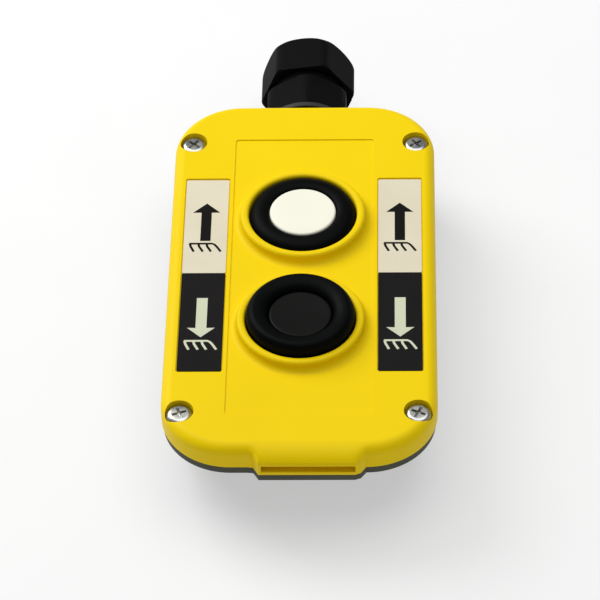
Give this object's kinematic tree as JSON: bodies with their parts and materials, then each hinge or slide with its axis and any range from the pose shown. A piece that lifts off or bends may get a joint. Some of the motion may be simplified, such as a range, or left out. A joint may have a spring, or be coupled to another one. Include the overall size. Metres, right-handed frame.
{
  "type": "pendant control station",
  "caption": "Hand-held pendant control box with sprung up and down push buttons in raised collars, side labels and a cable gland at one end.",
  "frame": {"origin": "on the flat back face, under the middle of the case", "axes": "+Z out of the button face, +Y along the case towards the cable gland, +X to the right as the buttons are read"},
  "size_m": [0.072, 0.167, 0.036],
  "materials": {
    "cover_yellow": "satin moulded",
    "housing_grey": "fine matt texture",
    "seal_rubber": "matt",
    "zinc_steel": "bright zinc plate",
    "insert_brass": "turned",
    "label_cream": "satin print film",
    "label_black": "satin print film",
    "cap_white": "gloss",
    "cap_black": "satin",
    "boot_rubber": "satin rubber",
    "moving_plastic": "moulded nylon",
    "spring_steel": "drawn wire",
    "block_plastic": "moulded",
    "lid_plastic": "moulded",
    "contact_brass": "stamped",
    "gland_nylon": "moulded nylon"
  },
  "bodies": {
    "case": {"front_cover": "cover_yellow", "back_housing": "housing_grey", "cover_gasket": "seal_rubber", "cover_screws": "zinc_steel", "screw_seals": "seal_rubber", "screw_inserts": "insert_brass", "up_label_left": "label_cream", "up_label_right": "label_cream", "down_label_left": "label_black", "down_label_right": "label_black", "up_spring": "spring_steel", "up_guide": "moving_plastic", "up_contact_block": "block_plastic", "up_block_lid": "lid_plastic", "up_fixed_contacts": "contact_brass", "up_terminal_screws": "zinc_steel", "down_spring": "spring_steel", "down_guide": "moving_plastic", "down_contact_block": "block_plastic", "down_block_lid": "lid_plastic", "down_fixed_contacts": "contact_brass", "down_terminal_screws": "zinc_steel", "guide_screws": "zinc_steel", "block_screws": "zinc_steel", "gland_washer": "seal_rubber", "gland_body": "gland_nylon", "gland_locknut": "gland_nylon", "gland_insert": "seal_rubber", "gland_nut": "gland_nylon"},
    "up_button": {"up_cap": "cap_white", "up_boot": "boot_rubber", "up_plunger": "moving_plastic", "up_contact_bridge": "contact_brass"},
    "down_button": {"down_cap": "cap_black", "down_boot": "boot_rubber", "down_plunger": "moving_plastic", "down_contact_bridge": "contact_brass"}
  },
  "joints": [
    {"name": "up_press", "type": "slide", "parent": "case", "child": "up_button", "axis": [0, 0, -1], "range_m": [0, 0.0035], "stiffness_N_per_m": 900, "springref_m": -0.003, "deforming": ["up_spring", "up_boot"]},
    {"name": "down_press", "type": "slide", "parent": "case", "child": "down_button", "axis": [0, 0, -1], "range_m": [0, 0.0035], "stiffness_N_per_m": 900, "springref_m": -0.003, "deforming": ["down_spring", "down_boot"]}
  ]
}
